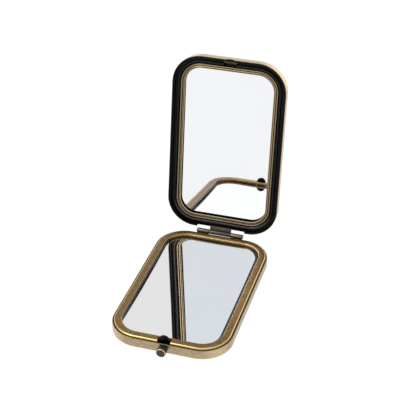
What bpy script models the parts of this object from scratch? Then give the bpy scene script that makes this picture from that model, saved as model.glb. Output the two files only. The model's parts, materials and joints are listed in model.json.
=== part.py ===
"""A folding pocket mirror in antique brass: two pressed leaves on a pinned hinge, with a latch.

The base lies flat with its underside at z = 0 and its centre at the origin. The hinge is at +Y
and the push button at -Y. The lid is drawn closed over the base and stands open on its hinge
axis by turning the empty that carries it. All lengths are in metres.
"""
from math import asin, cos, degrees, pi, radians, sin

import bmesh
import bpy
from mathutils import Matrix

# ---- the two leaves
LEAF_WIDTH = 0.0600
LEAF_LENGTH = 0.0950
CORNER_RADIUS = 0.0152
SHELL_DEPTH = 0.0054
SHELL_SHEET = 0.00055
FLOOR_EDGE_ROUND = 0.0009
RIM_GAP = 0.0003            # between the two rims when the lid is closed
LID_REST_ANGLE = radians(98.0)

# ---- clearances
GAP = 0.0003                # between pieces that rest on each other
RUNNING_GAP = 0.0001        # round the hinge pin
END_GAP = 0.0002            # between neighbouring knuckles
HEAD_GAP = 0.00015          # under a rivet's or pin's head

# ---- mirrors and what backs them
GLASS_THICKNESS = 0.0012
BASE_GLASS_DROP = 0.0008    # the lower glass lies this far under its rim
BASE_GLASS_INSET = 0.00425
BASE_CARD_THICKNESS = 0.0008
BASE_PAD_INSET = 0.0046
LID_GLASS_DROP = 0.0022
LID_GLASS_INSET = 0.0059

# ---- base bezel: a hat section bent from sheet
BEZEL_SHEET = 0.00045
BEZEL_RISE = 0.00085        # above the rim
BEZEL_SHOULDER = 0.00075
BEZEL_INNER_INSET = 0.0049
BEZEL_LEG = 0.0030          # below the rim

# ---- lid bezel: a leg, a channel, a half-round moulding and a flange
LID_BEZEL_SHEET = 0.0004
LID_LEG_TOP = 0.00065       # depths are below the lid's rim
CHANNEL_FLOOR = 0.0020
MOULDING_START = 0.0023     # insets are from the outer wall
MOULDING_RADIUS = 0.00085
MOULDING_TOP = 0.00095
FLANGE_DEPTH = 0.0029
FLANGE_INSET = 0.0054

# ---- lid mirror frame: two beads with a groove between them
FRAME_INSET = 0.00425
FRAME_OUTER_BEAD = 0.00045
FRAME_OUTER_TOP = 0.00125
FRAME_GROOVE = 0.000225     # between the beads
FRAME_INNER_BEAD = 0.00050
FRAME_INNER_TOP = 0.00140
INNER_BEAD_END = 290        # degrees round the bead, where its slope to the glass starts
FRAME_EDGE_INSET = 0.0066
FRAME_EDGE_DEPTH = 0.0016

# ---- hinge
HINGE_WIDTH = 0.0252        # over the knuckles, without the pin's heads
HINGE_NOTCH_SIDE = 0.0005   # the rear walls' notches are this much wider on each side
CENTRE_KNUCKLE = 0.0118
KNUCKLE_RADIUS = 0.00125
PIN_RADIUS = 0.00055
PIN_HEAD_RADIUS = 0.00085
PIN_HEAD = 0.0003
HINGE_STANDOFF = 0.00205    # from the rear wall to the axis
LEAF_PLATE = 0.00045
LEAF_FLANGE = 0.0004
LEAF_FLOOR_GAP = 0.00045    # between a flange's end and the floor of its shell
LID_NOTCH_DEPTH = 0.0023
RIVET_RADIUS = 0.0005
RIVET_HEAD_RADIUS = 0.0009
RIVET_HEAD = 0.0004
RIVET_UPSET = 0.00025       # of the closed end inside the wall
BASE_RIVETS = (-0.0100, -0.0038, 0.0038, 0.0100)
LID_RIVETS = (-0.0038, 0.0038)

# ---- latch
BUTTON_RADIUS = 0.0024
BUTTON_FOOT_GAP = 0.00035   # under the cap, above the underside
BUTTON_LENGTH = 0.0027
BUTTON_TRAVEL = 0.0008
BUTTON_EDGE = 0.0004
BUTTON_DOME = 0.00015
BUTTON_REST_GAP = 0.0010    # behind the cap, more than the travel
STEM_RADIUS = 0.0011
SPIGOT_RADIUS = 0.0007
LUG_WIDTH = 0.0055
LUG_TOP = 0.0034            # above the rim
LUG_SHANK = 0.0010
LUG_NOSE = 0.0006
LUG_INSET = 0.0019
LUG_EDGE = 0.0004
NOSE_HEIGHT = 0.0011        # of the hook's underside above the rim
CATCH_OVERHANG = 0.00025    # on each side of the hook
CATCH_PLATE = 0.00035
CATCH_INSET = 0.0017
CATCH_DROP = 0.00015        # the lip lies this far inside the lid's rim
THUMB_NOTCH_WIDTH = 0.0047
THUMB_NOTCH_DEPTH = 0.0013
CLIP_RADIUS = 0.0019
CLIP_THICKNESS = 0.0004
CLIP_BORE_GAP = 0.00015
CLIP_START = -50            # degrees; the clip's mouth is between its end and its start
CLIP_END = 230
GUIDE_WALL = 0.0005
GUIDE_SEAT_INSET = 0.0076
GUIDE_FOOT = 0.0024
SPRING_WIRE = 0.00028
SPRING_COIL_RADIUS = 0.00072
SPRING_TURNS = 5.5
STEPS_PER_TURN = 12
CARD_CUT_GAP = 0.0004

# ---- derived places
FRONT = -LEAF_LENGTH / 2
REAR = LEAF_LENGTH / 2
BASE_RIM = SHELL_DEPTH
LID_RIM = BASE_RIM + RIM_GAP
LID_TOP = LID_RIM + SHELL_DEPTH
AXIS_Y = REAR + HINGE_STANDOFF
AXIS_Z = BASE_RIM + RIM_GAP / 2
WALL_INSIDE = SHELL_SHEET + GAP
FLOOR_INSIDE = SHELL_SHEET + GAP
BASE_GLASS_TOP = BASE_RIM - BASE_GLASS_DROP
BASE_GLASS_LOW = BASE_GLASS_TOP - GLASS_THICKNESS
BASE_NOTCH_BOTTOM = AXIS_Z - KNUCKLE_RADIUS - GAP
BASE_FLANGE_END = SHELL_SHEET + LEAF_FLOOR_GAP
BASE_RIVET_HEIGHT = (BASE_FLANGE_END + BASE_NOTCH_BOTTOM) / 2
LID_FLANGE_END = LID_TOP - SHELL_SHEET - LEAF_FLOOR_GAP
LID_RIVET_HEIGHT = (LID_FLANGE_END + LID_RIM + LID_NOTCH_DEPTH) / 2
BUTTON_HEIGHT = BUTTON_RADIUS + BUTTON_FOOT_GAP
SPRING_HEIGHT = (SHELL_SHEET + BASE_GLASS_LOW) / 2
CATCH_WIDTH = LUG_WIDTH + 2 * CATCH_OVERHANG
LUG_BACK = LUG_INSET + LUG_SHANK
LUG_CLEAR = LUG_BACK + BUTTON_TRAVEL

# ---- fineness
CORNER_STEPS = 8
BEND_STEPS = 4
HIDDEN_BEND_STEPS = 2
DOME_STEPS = 3
SMOOTH_ANGLE = 35
WIRE_SMOOTH_ANGLE = 60
SHEET_MERGE_ANGLE = 0.5     # degrees: flatter neighbouring faces become one
ROUND_STEPS = 28
SMALL_ROUND_STEPS = 16
CUT = 0.002                 # how far a cutter runs past what it cuts

COLOURS = {
    "aged_brass": ((0.20, 0.135, 0.062), 0.34, 1.0),
    "brushed_brass": ((0.27, 0.21, 0.14), 0.42, 1.0),
    "gilt_brass": ((0.24, 0.165, 0.085), 0.30, 1.0),
    "blackened_steel": ((0.020, 0.019, 0.020), 0.38, 1.0),
    "dark_bronze": ((0.075, 0.062, 0.052), 0.40, 1.0),
    "hinge_steel": ((0.11, 0.095, 0.082), 0.38, 1.0),
    "spring_steel": ((0.42, 0.42, 0.43), 0.30, 1.0),
    "mirror_glass": ((0.90, 0.91, 0.92), 0.02, 1.0),
    "grey_card": ((0.24, 0.23, 0.21), 0.95, 0.0),
    "foam": ((0.62, 0.62, 0.60), 0.95, 0.0),
}


def clear_scene():
    for old in list(bpy.data.objects):
        bpy.data.objects.remove(old, do_unlink=True)


def new_collection(name):
    made = bpy.data.collections.new(name)
    bpy.context.scene.collection.children.link(made)
    return made


clear_scene()
PARTS = new_collection("folding_pocket_mirror")
CUTTERS = new_collection("cutters")


def material(name):
    """The Principled material of this name, made on its first use."""
    if name in bpy.data.materials:
        return bpy.data.materials[name]
    colour, roughness, metallic = COLOURS[name]
    made = bpy.data.materials.new(name)
    made.use_nodes = True
    shader = made.node_tree.nodes["Principled BSDF"]
    shader.inputs["Base Color"].default_value = (*colour, 1.0)
    shader.inputs["Roughness"].default_value = roughness
    shader.inputs["Metallic"].default_value = metallic
    return made


# ---- outlines and sections

def arc(centre, radius, start, end, steps):
    """Points on an arc, angles in degrees, both ends included."""
    turn = [radians(start + (end - start) * step / steps) for step in range(steps + 1)]
    return [(centre[0] + radius * cos(a), centre[1] + radius * sin(a)) for a in turn]


def dome(radius, base, height):
    """A round head's profile as (radius, height), from its crown down to its edge."""
    turn = [radians(90 * step / DOME_STEPS) for step in range(DOME_STEPS + 1)]
    return [(radius * sin(a), base + height * cos(a)) for a in turn]


def leaf_outline(inset):
    """The leaf's outline seen from above, anticlockwise, moved in by the inset."""
    radius = CORNER_RADIUS - inset
    across = LEAF_WIDTH / 2 - inset - radius
    along = LEAF_LENGTH / 2 - inset - radius
    points = []
    for turn, (side, end) in enumerate(((1, 1), (-1, 1), (-1, -1), (1, -1))):
        centre = (side * across, end * along)
        points += arc(centre, radius, 90 * turn, 90 * turn + 90, CORNER_STEPS)
    return points


def base_bezel_section():
    """The hat section as (inset, height): up the outer leg, over the top, down to the glass."""
    outer = WALL_INSIDE
    inner = BEZEL_INNER_INSET
    bend = BASE_RIM + BEZEL_RISE - BEZEL_SHOULDER
    foot = BASE_GLASS_TOP + GAP
    inside = BEZEL_SHOULDER - BEZEL_SHEET
    outer_bend = (outer + BEZEL_SHOULDER, bend)
    inner_bend = (inner - BEZEL_SHOULDER, bend)
    section = [(outer, BASE_RIM - BEZEL_LEG)]
    section += arc(outer_bend, BEZEL_SHOULDER, 180, 90, BEND_STEPS)
    section += arc(inner_bend, BEZEL_SHOULDER, 90, 0, BEND_STEPS)
    section += [(inner, foot), (inner - BEZEL_SHEET, foot)]
    section += arc(inner_bend, inside, 0, 90, HIDDEN_BEND_STEPS)
    section += arc(outer_bend, inside, 90, 180, HIDDEN_BEND_STEPS)
    section += [(outer + BEZEL_SHEET, BASE_RIM - BEZEL_LEG)]
    return section


def lid_bezel_section():
    """The lid's dark channel and moulding as (inset, depth below the lid's rim)."""
    sheet = LID_BEZEL_SHEET
    centre = (MOULDING_START + MOULDING_RADIUS, MOULDING_TOP + MOULDING_RADIUS)
    drop = MOULDING_START + 2 * MOULDING_RADIUS
    section = [(WALL_INSIDE, LID_LEG_TOP), (WALL_INSIDE + sheet, LID_LEG_TOP)]
    section += [(WALL_INSIDE + sheet, CHANNEL_FLOOR), (MOULDING_START, CHANNEL_FLOOR)]
    section += arc(centre, MOULDING_RADIUS, 180, 360, 2 * BEND_STEPS - 2)
    section += [(drop, FLANGE_DEPTH), (FLANGE_INSET, FLANGE_DEPTH)]
    section += [(FLANGE_INSET, FLANGE_DEPTH + sheet), (drop - sheet, FLANGE_DEPTH + sheet)]
    section += arc(centre, MOULDING_RADIUS - sheet, 360, 180, 2 * HIDDEN_BEND_STEPS)
    section += [(MOULDING_START + sheet, CHANNEL_FLOOR + sheet)]
    section += [(WALL_INSIDE, CHANNEL_FLOOR + sheet)]
    return section


def lid_frame_section():
    """The stepped brass frame as (inset, depth below the lid's rim)."""
    foot = FLANGE_DEPTH - GAP
    seat = LID_GLASS_DROP - GAP
    outer = (FRAME_INSET + FRAME_OUTER_BEAD, FRAME_OUTER_TOP + FRAME_OUTER_BEAD)
    groove = FRAME_INSET + 2 * FRAME_OUTER_BEAD + FRAME_GROOVE
    inner = (groove + FRAME_INNER_BEAD, FRAME_INNER_TOP + FRAME_INNER_BEAD)
    section = [(FRAME_INSET, foot)]
    section += arc(outer, FRAME_OUTER_BEAD, 180, 360, BEND_STEPS + 1)
    section += arc(inner, FRAME_INNER_BEAD, 180, INNER_BEAD_END, BEND_STEPS)
    section += [(FRAME_EDGE_INSET, FRAME_EDGE_DEPTH), (FRAME_EDGE_INSET, seat)]
    section += [(LID_GLASS_INSET - GAP, seat), (LID_GLASS_INSET - GAP, foot)]
    return section


# ---- making objects

def add_object(name, data, collection):
    made = bpy.data.objects.new(name, data)
    collection.objects.link(made)
    return made


def flat_curve(name, loops, collection):
    """A filled 2D curve of closed straight-sided loops; an inner loop is a hole."""
    curve = bpy.data.curves.new(name, "CURVE")
    curve.dimensions = "2D"
    curve.fill_mode = "BOTH"
    for loop in loops:
        spline = curve.splines.new("POLY")
        spline.points.add(len(loop) - 1)
        for point, (x, y) in zip(spline.points, loop):
            point.co = (x, y, 0.0, 1.0)
        spline.use_cyclic_u = True
    return add_object(name, curve, collection)


def to_mesh(source):
    """Replaces an object by a plain welded mesh of itself, flat faces merged."""
    bpy.context.view_layer.update()
    evaluated = source.evaluated_get(bpy.context.evaluated_depsgraph_get())
    mesh = bpy.data.meshes.new_from_object(evaluated)
    name, place = source.name, source.matrix_world.copy()
    collection = source.users_collection[0]
    bpy.data.objects.remove(source, do_unlink=True)
    shape = bmesh.new()
    shape.from_mesh(mesh)
    bmesh.ops.remove_doubles(shape, verts=shape.verts, dist=1e-6)
    bmesh.ops.dissolve_limit(shape, angle_limit=radians(SHEET_MERGE_ANGLE), verts=shape.verts, edges=shape.edges)
    bmesh.ops.recalc_face_normals(shape, faces=shape.faces)
    shape.to_mesh(mesh)
    shape.free()
    mesh.name = name
    made = add_object(name, mesh, collection)
    made.matrix_world = place
    return made


def plate(name, loops, low, high, collection=PARTS):
    """A flat plate of the given outline between two heights."""
    curve = flat_curve(name, loops, collection)
    curve.data.extrude = (high - low) / 2
    curve.location.z = (low + high) / 2
    return to_mesh(curve)


def bar(name, loops, left, right, collection=PARTS):
    """A section of (y, z) points, swept along X."""
    curve = flat_curve(name, loops, collection)
    curve.data.extrude = (right - left) / 2
    stand = Matrix(((0, 0, 1), (1, 0, 0), (0, 1, 0))).to_4x4()
    curve.matrix_world = Matrix.Translation(((left + right) / 2, 0, 0)) @ stand
    return to_mesh(curve)


def ring(name, section):
    """A closed section of (inset, height) points, swept round the leaf's outline."""
    profile = flat_curve(name + "_section", [section], CUTTERS)
    path = flat_curve(name, [leaf_outline(0)], PARTS)
    path.data.bevel_mode = "OBJECT"
    path.data.bevel_object = profile
    made = to_mesh(path)
    bpy.data.objects.remove(profile, do_unlink=True)
    return made


def turned(name, profile, place, steps, collection=PARTS):
    """A profile of (radius, height) points, from the top down its outer side, turned about Z."""
    shape = bmesh.new()
    verts = [shape.verts.new((radius, 0, height)) for radius, height in profile]
    for upper, lower in zip(verts, verts[1:]):
        shape.edges.new((upper, lower))
    mesh = bpy.data.meshes.new(name)
    shape.to_mesh(mesh)
    shape.free()
    made = add_object(name, mesh, collection)
    made.matrix_world = place
    screw = made.modifiers.new("turn", "SCREW")
    screw.axis = "Z"
    screw.steps = steps
    screw.render_steps = steps
    screw.use_merge_vertices = True
    screw.merge_threshold = 0.00001
    return made


def upright_plate(name, loops, near, far, collection=PARTS):
    """A flat plate of (x, z) points that stands across Y, between two places on Y."""
    curve = flat_curve(name, loops, collection)
    curve.data.extrude = (far - near) / 2
    curve.rotation_euler.x = pi / 2
    curve.location.y = (near + far) / 2
    return to_mesh(curve)


def rod(name, radius, start, end, axis, steps, collection=PARTS):
    """A plain cylinder from start to end, which differ along one axis."""
    length = end[axis] - start[axis]
    bpy.ops.mesh.primitive_cylinder_add(vertices=steps, radius=radius, depth=abs(length))
    made = bpy.context.active_object
    made.name = name
    made.data.name = name
    for old in made.users_collection:
        old.objects.unlink(made)
    collection.objects.link(made)
    if axis == 0:
        made.rotation_euler.y = pi / 2
    if axis == 1:
        made.rotation_euler.x = pi / 2
    made.location = [(a + b) / 2 for a, b in zip(start, end)]
    return made


def box(name, low, high, collection=PARTS):
    """A cube stretched between two corners, its size applied."""
    bpy.ops.mesh.primitive_cube_add(size=1)
    made = bpy.context.active_object
    made.name = name
    made.data.name = name
    for old in made.users_collection:
        old.objects.unlink(made)
    collection.objects.link(made)
    size = [b - a for a, b in zip(low, high)]
    made.data.transform(Matrix.Diagonal((*size, 1)))
    made.location = [(a + b) / 2 for a, b in zip(low, high)]
    return made


def boolean(target, tool, operation="DIFFERENCE"):
    """Cuts or joins with another object, which stays as a wire guide in the cutters."""
    for old in tool.users_collection:
        old.objects.unlink(tool)
    CUTTERS.objects.link(tool)
    tool.hide_render = True
    tool.display_type = "WIRE"
    step = target.modifiers.new(tool.name, "BOOLEAN")
    step.operation = operation
    step.object = tool
    step.solver = "EXACT"


def bevel(target, width, segments=2, angle=40):
    step = target.modifiers.new("edges", "BEVEL")
    step.width = width
    step.segments = segments
    step.limit_method = "ANGLE"
    step.angle_limit = radians(angle)


def finish(made, material_name, smooth_angle=SMOOTH_ANGLE):
    made.data.materials.clear()
    made.data.materials.append(material(material_name))
    made.data.shade_smooth()
    made.data.set_sharp_from_angle(angle=radians(smooth_angle))
    return made


# ---- shells

def tray(name):
    """An open pressed tray: the leaf's outline with its wall drawn up, thickened inwards."""
    made = to_mesh(flat_curve(name, [leaf_outline(0)], PARTS))
    shape = bmesh.new()
    shape.from_mesh(made.data)
    for face in shape.faces:
        if face.normal.z > 0:
            face.normal_flip()
    wall = bmesh.ops.extrude_edge_only(shape, edges=shape.edges)
    rim = [item for item in wall["geom"] if isinstance(item, bmesh.types.BMVert)]
    bmesh.ops.translate(shape, verts=rim, vec=(0, 0, SHELL_DEPTH))
    bmesh.ops.recalc_face_normals(shape, faces=shape.faces)
    floor = max(shape.faces, key=lambda face: face.calc_area())
    if floor.normal.z > 0:
        bmesh.ops.reverse_faces(shape, faces=shape.faces)
    shape.to_mesh(made.data)
    shape.free()
    bevel(made, FLOOR_EDGE_ROUND, segments=3, angle=60)
    shell = made.modifiers.new("sheet", "SOLIDIFY")
    shell.thickness = SHELL_SHEET
    shell.offset = -1
    shell.use_even_offset = True
    return made


def rivet_hole(name, x, wall_y, height):
    """A cutter for a rivet's hole through a rear wall."""
    start = (x, wall_y - CUT, height)
    end = (x, wall_y + CUT, height)
    return rod(name, RIVET_RADIUS + HEAD_GAP, start, end, 1, SMALL_ROUND_STEPS, CUTTERS)


def make_base_shell():
    shell = tray("base_shell")
    half = HINGE_WIDTH / 2 + HINGE_NOTCH_SIDE
    low = (-half, REAR - WALL_INSIDE, BASE_NOTCH_BOTTOM)
    boolean(shell, box("base_hinge_notch", low, (half, REAR + CUT, BASE_RIM + CUT), CUTTERS))
    start = (0, FRONT - CUT, BUTTON_HEIGHT)
    end = (0, FRONT + CUT, BUTTON_HEIGHT)
    boolean(shell, rod("stem_hole", STEM_RADIUS + GAP, start, end, 1, ROUND_STEPS, CUTTERS))
    for number, x in enumerate(BASE_RIVETS, 1):
        boolean(shell, rivet_hole(f"base_rivet_hole_{number}", x, REAR, BASE_RIVET_HEIGHT))
    return finish(shell, "brushed_brass")


def thumb_notch_cutter():
    """A rod whose arc leaves the half-round notch in the lid's free edge."""
    half, depth = THUMB_NOTCH_WIDTH / 2, THUMB_NOTCH_DEPTH
    radius = (half ** 2 + depth ** 2) / (2 * depth)
    height = LID_RIM + depth - radius
    start = (0, FRONT - CUT, height)
    end = (0, FRONT + WALL_INSIDE, height)
    return rod("thumb_notch", radius, start, end, 1, ROUND_STEPS * 2, CUTTERS)


def make_lid_shell():
    shell = tray("lid_shell")
    shell.data.transform(Matrix.Rotation(pi, 4, "Y"))
    shell.data.transform(Matrix.Translation((0, 0, LID_TOP)))
    half = HINGE_WIDTH / 2 + HINGE_NOTCH_SIDE
    low = (-half, REAR - WALL_INSIDE, LID_RIM - CUT)
    high = (half, REAR + CUT, LID_RIM + LID_NOTCH_DEPTH)
    boolean(shell, box("lid_hinge_notch", low, high, CUTTERS))
    boolean(shell, thumb_notch_cutter())
    for number, x in enumerate(LID_RIVETS, 1):
        boolean(shell, rivet_hole(f"lid_rivet_hole_{number}", x, REAR, LID_RIVET_HEIGHT))
    return finish(shell, "brushed_brass")


# ---- rings round the mirrors

def make_base_bezel():
    bezel = ring("base_bezel", base_bezel_section())
    half = CATCH_WIDTH / 2 + GAP
    low = (-half, FRONT - CUT, 0)
    high = (half, FRONT + LUG_CLEAR + RUNNING_GAP, BASE_RIM + CUT)
    boolean(bezel, box("latch_notch", low, high, CUTTERS))
    half = HINGE_WIDTH / 2 + HINGE_NOTCH_SIDE
    low = (-half, REAR - WALL_INSIDE - LEAF_FLANGE - GAP, 0)
    high = (half, REAR + CUT, AXIS_Z - KNUCKLE_RADIUS + LEAF_PLATE + GAP)
    boolean(bezel, box("base_leaf_notch", low, high, CUTTERS))
    return finish(bezel, "aged_brass")


def make_lid_bezel():
    section = [(inset, LID_RIM + depth) for inset, depth in lid_bezel_section()]
    bezel = ring("lid_bezel", section)
    half = CATCH_WIDTH / 2 + GAP
    low = (-half, FRONT - CUT, 0)
    high = (half, FRONT + LUG_CLEAR + GAP / 2, LID_TOP)
    boolean(bezel, box("lug_pocket", low, high, CUTTERS))
    half = CENTRE_KNUCKLE / 2 + GAP
    low = (-half, REAR - WALL_INSIDE - LEAF_FLANGE - GAP, 0)
    boolean(bezel, box("lid_leaf_notch", low, (half, REAR + CUT, LID_TOP), CUTTERS))
    return finish(bezel, "blackened_steel")


def make_lid_mirror_frame():
    section = [(inset, LID_RIM + depth) for inset, depth in lid_frame_section()]
    return finish(ring("lid_mirror_frame", section), "gilt_brass")


# ---- mirrors, cards and pad

def latch_cutout(name):
    """A cutter that clears the latch out of the card and the pad."""
    half = LUG_WIDTH / 2 + GAP + GUIDE_WALL + GUIDE_FOOT + CARD_CUT_GAP
    low = (-half, FRONT - CUT, SHELL_SHEET)
    high = (half, FRONT + GUIDE_SEAT_INSET + GUIDE_WALL + CARD_CUT_GAP, BASE_RIM)
    return box(name, low, high, CUTTERS)


def make_base_stack():
    outline = [leaf_outline(BASE_GLASS_INSET)]
    glass = plate("base_mirror", outline, BASE_GLASS_LOW, BASE_GLASS_TOP)
    card_top = FLOOR_INSIDE + BASE_CARD_THICKNESS
    outline = [leaf_outline(BASE_PAD_INSET)]
    card = plate("base_backing_card", outline, FLOOR_INSIDE, card_top)
    boolean(card, latch_cutout("card_cutout"))
    pad = plate("base_foam_pad", outline, card_top + GAP, BASE_GLASS_LOW - GAP)
    boolean(pad, latch_cutout("pad_cutout"))
    return [finish(glass, "mirror_glass"), finish(card, "grey_card"), finish(pad, "foam")]


def make_lid_stack():
    glass_face = LID_RIM + LID_GLASS_DROP
    glass_back = glass_face + GLASS_THICKNESS
    outline = [leaf_outline(LID_GLASS_INSET)]
    glass = plate("lid_mirror", outline, glass_face, glass_back)
    card = plate("lid_backing_card", outline, glass_back + GAP, LID_TOP - SHELL_SHEET - GAP)
    return [finish(glass, "mirror_glass"), finish(card, "grey_card")]


# ---- hinge

def leaf_section(side, flange_end):
    """A knuckle and its leaf as loops of (y, z): side is 1 above the axis and -1 below it.

    The leaf's plate leaves the knuckle at a tangent and goes through the rear wall's notch. Its
    flange lies along the wall's inner face as far as flange_end, a distance from the axis.
    """
    face = KNUCKLE_RADIUS - LEAF_PLATE
    outside = -HINGE_STANDOFF - WALL_INSIDE
    inside = outside - LEAF_FLANGE
    meet = 180 - degrees(asin(face / KNUCKLE_RADIUS))
    loop = [(outside, KNUCKLE_RADIUS), (outside, flange_end), (inside, flange_end), (inside, face)]
    loop += arc((0, 0), KNUCKLE_RADIUS, meet, 450, ROUND_STEPS)
    bore = arc((0, 0), PIN_RADIUS + RUNNING_GAP, 0, 360, ROUND_STEPS)[:-1]
    return [[(AXIS_Y + y, AXIS_Z + side * z) for y, z in points] for points in (loop, bore)]


def make_base_hinge_leaf():
    loops = leaf_section(-1, AXIS_Z - BASE_FLANGE_END)
    leaf = bar("base_hinge_leaf", loops, -HINGE_WIDTH / 2, HINGE_WIDTH / 2)
    half = CENTRE_KNUCKLE / 2 + END_GAP
    low = (-half, REAR - SHELL_SHEET, 0)
    high = (half, AXIS_Y + KNUCKLE_RADIUS + CUT, LID_TOP)
    boolean(leaf, box("centre_knuckle_gap", low, high, CUTTERS))
    flange = REAR - WALL_INSIDE
    for number, x in enumerate(BASE_RIVETS, 1):
        boolean(leaf, rivet_hole(f"base_leaf_hole_{number}", x, flange, BASE_RIVET_HEIGHT))
    return finish(leaf, "hinge_steel")


def make_lid_hinge_leaf():
    loops = leaf_section(1, LID_FLANGE_END - AXIS_Z)
    leaf = bar("lid_hinge_leaf", loops, -CENTRE_KNUCKLE / 2, CENTRE_KNUCKLE / 2)
    flange = REAR - WALL_INSIDE
    for number, x in enumerate(LID_RIVETS, 1):
        boolean(leaf, rivet_hole(f"lid_leaf_hole_{number}", x, flange, LID_RIVET_HEIGHT))
    return finish(leaf, "hinge_steel")


def make_hinge_pin():
    """The pin, turned about its length, with a domed head at each end."""
    shoulder = HINGE_WIDTH / 2 + HEAD_GAP
    half = dome(PIN_HEAD_RADIUS, shoulder, PIN_HEAD) + [(PIN_RADIUS, shoulder)]
    profile = half + [(radius, -height) for radius, height in reversed(half)]
    place = Matrix.Translation((0, AXIS_Y, AXIS_Z)) @ Matrix.Rotation(pi / 2, 4, "Y")
    return finish(turned("hinge_pin", profile, place, ROUND_STEPS), "hinge_steel")


def make_rivets(name, places, height):
    """Rivets through the rear wall and the leaf's flange, their round heads outside."""
    tail = -WALL_INSIDE - LEAF_FLANGE - HEAD_GAP
    upset = dome((RIVET_RADIUS + RIVET_HEAD_RADIUS) / 2, 0, RIVET_UPSET)
    profile = dome(RIVET_HEAD_RADIUS, HEAD_GAP, RIVET_HEAD)
    profile += [(RIVET_RADIUS, HEAD_GAP), (RIVET_RADIUS, tail)]
    profile += [(radius, tail - height) for radius, height in reversed(upset)]
    rivets = []
    for number, x in enumerate(places, 1):
        place = Matrix.Translation((x, REAR, height)) @ Matrix.Rotation(-pi / 2, 4, "X")
        made = turned(f"{name}_{number}", profile, place, SMALL_ROUND_STEPS)
        rivets.append(finish(made, "hinge_steel"))
    return rivets


# ---- latch

def make_push_button():
    """The turned cap and its stem; heights along its axis are outwards from the front wall."""
    rear = BUTTON_REST_GAP
    face = rear + BUTTON_LENGTH
    edge = (BUTTON_RADIUS - BUTTON_EDGE, face - BUTTON_EDGE)
    profile = [(0, face + BUTTON_DOME)] + arc(edge, BUTTON_EDGE, 90, 0, DOME_STEPS)
    profile += [(BUTTON_RADIUS, rear + BUTTON_EDGE / 2), (BUTTON_RADIUS - BUTTON_EDGE / 2, rear)]
    profile += [(STEM_RADIUS, rear), (STEM_RADIUS, -LUG_INSET + GAP)]
    profile += [(SPIGOT_RADIUS, -LUG_INSET + GAP), (SPIGOT_RADIUS, -LUG_BACK + RUNNING_GAP)]
    profile += [(0, -LUG_BACK + RUNNING_GAP)]
    place = Matrix.Translation((0, FRONT, BUTTON_HEIGHT)) @ Matrix.Rotation(pi / 2, 4, "X")
    return finish(turned("push_button", profile, place, ROUND_STEPS), "hinge_steel")


def make_latch_lug():
    """The round-topped hook: a thick nose over the catch and a thin shank behind the wall."""
    half = LUG_WIDTH / 2
    centre = BASE_RIM + LUG_TOP - half
    low = FLOOR_INSIDE
    loop = [(-half, low), (half, low)] + arc((0, centre), half, 0, 180, SMALL_ROUND_STEPS)
    near, far = FRONT + LUG_INSET - LUG_NOSE, FRONT + LUG_BACK
    lug = upright_plate("latch_lug", [loop], near, far)
    bevel(lug, LUG_EDGE, segments=3, angle=60)
    corner = (-half - CUT, near - CUT, low - CUT)
    opposite = (half + CUT, FRONT + LUG_INSET, BASE_RIM + NOSE_HEIGHT)
    boolean(lug, box("catch_recess", corner, opposite, CUTTERS))
    start = (0, near - CUT, BUTTON_HEIGHT)
    end = (0, far + CUT, BUTTON_HEIGHT)
    hole = rod("spigot_hole", SPIGOT_RADIUS + GAP, start, end, 1, ROUND_STEPS, CUTTERS)
    boolean(lug, hole)
    return finish(lug, "blackened_steel")


def make_stem_clip():
    """An open ring on the stem, with its mouth downwards."""
    centre = (0, BUTTON_HEIGHT)
    bore = STEM_RADIUS + CLIP_BORE_GAP
    outer = arc(centre, CLIP_RADIUS, CLIP_START, CLIP_END, ROUND_STEPS)
    inner = arc(centre, bore, CLIP_END, CLIP_START, ROUND_STEPS)
    near = FRONT + WALL_INSIDE
    clip = upright_plate("stem_retaining_clip", [outer + inner], near, near + CLIP_THICKNESS)
    return finish(clip, "spring_steel")


def make_latch_guide():
    """A U of sheet that the hook slides in, with a foot on each side on the floor."""
    inner = LUG_WIDTH / 2 + GAP
    outer = inner + GUIDE_WALL
    start = FRONT + LUG_INSET
    seat = FRONT + GUIDE_SEAT_INSET
    end = seat + GUIDE_WALL
    top = BASE_GLASS_LOW - GAP
    loop = [(-outer, start), (-inner, start), (-inner, seat), (inner, seat), (inner, start)]
    loop += [(outer, start), (outer, end), (-outer, end)]
    guide = plate("latch_guide", [loop], FLOOR_INSIDE, top)
    middle = inner + GUIDE_WALL / 2
    for name, side in (("left_foot", -1), ("right_foot", 1)):
        reach = sorted((side * middle, side * (outer + GUIDE_FOOT)))
        corner = (reach[0], seat - GUIDE_FOOT, FLOOR_INSIDE)
        foot = box(name, corner, (reach[1], seat, FLOOR_INSIDE + GUIDE_WALL), CUTTERS)
        boolean(guide, foot, "UNION")
    return finish(guide, "spring_steel")


def make_return_spring():
    """The coil between the hook's shank and the guide's rear wall."""
    start = FRONT + LUG_BACK + GAP + SPRING_WIRE / 2
    end = FRONT + GUIDE_SEAT_INSET - GAP - SPRING_WIRE / 2
    steps = int(SPRING_TURNS * STEPS_PER_TURN)
    curve = bpy.data.curves.new("return_spring", "CURVE")
    curve.dimensions = "3D"
    curve.bevel_depth = SPRING_WIRE / 2
    curve.bevel_resolution = 2
    curve.use_fill_caps = True
    spline = curve.splines.new("POLY")
    spline.points.add(steps)
    for step, point in enumerate(spline.points):
        turn = 2 * pi * SPRING_TURNS * step / steps
        across = SPRING_COIL_RADIUS * cos(turn)
        up = SPRING_HEIGHT + SPRING_COIL_RADIUS * sin(turn)
        point.co = (across, start + (end - start) * step / steps, up, 1.0)
    spring = to_mesh(add_object("return_spring", curve, PARTS))
    return finish(spring, "spring_steel", WIRE_SMOOTH_ANGLE)


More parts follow.
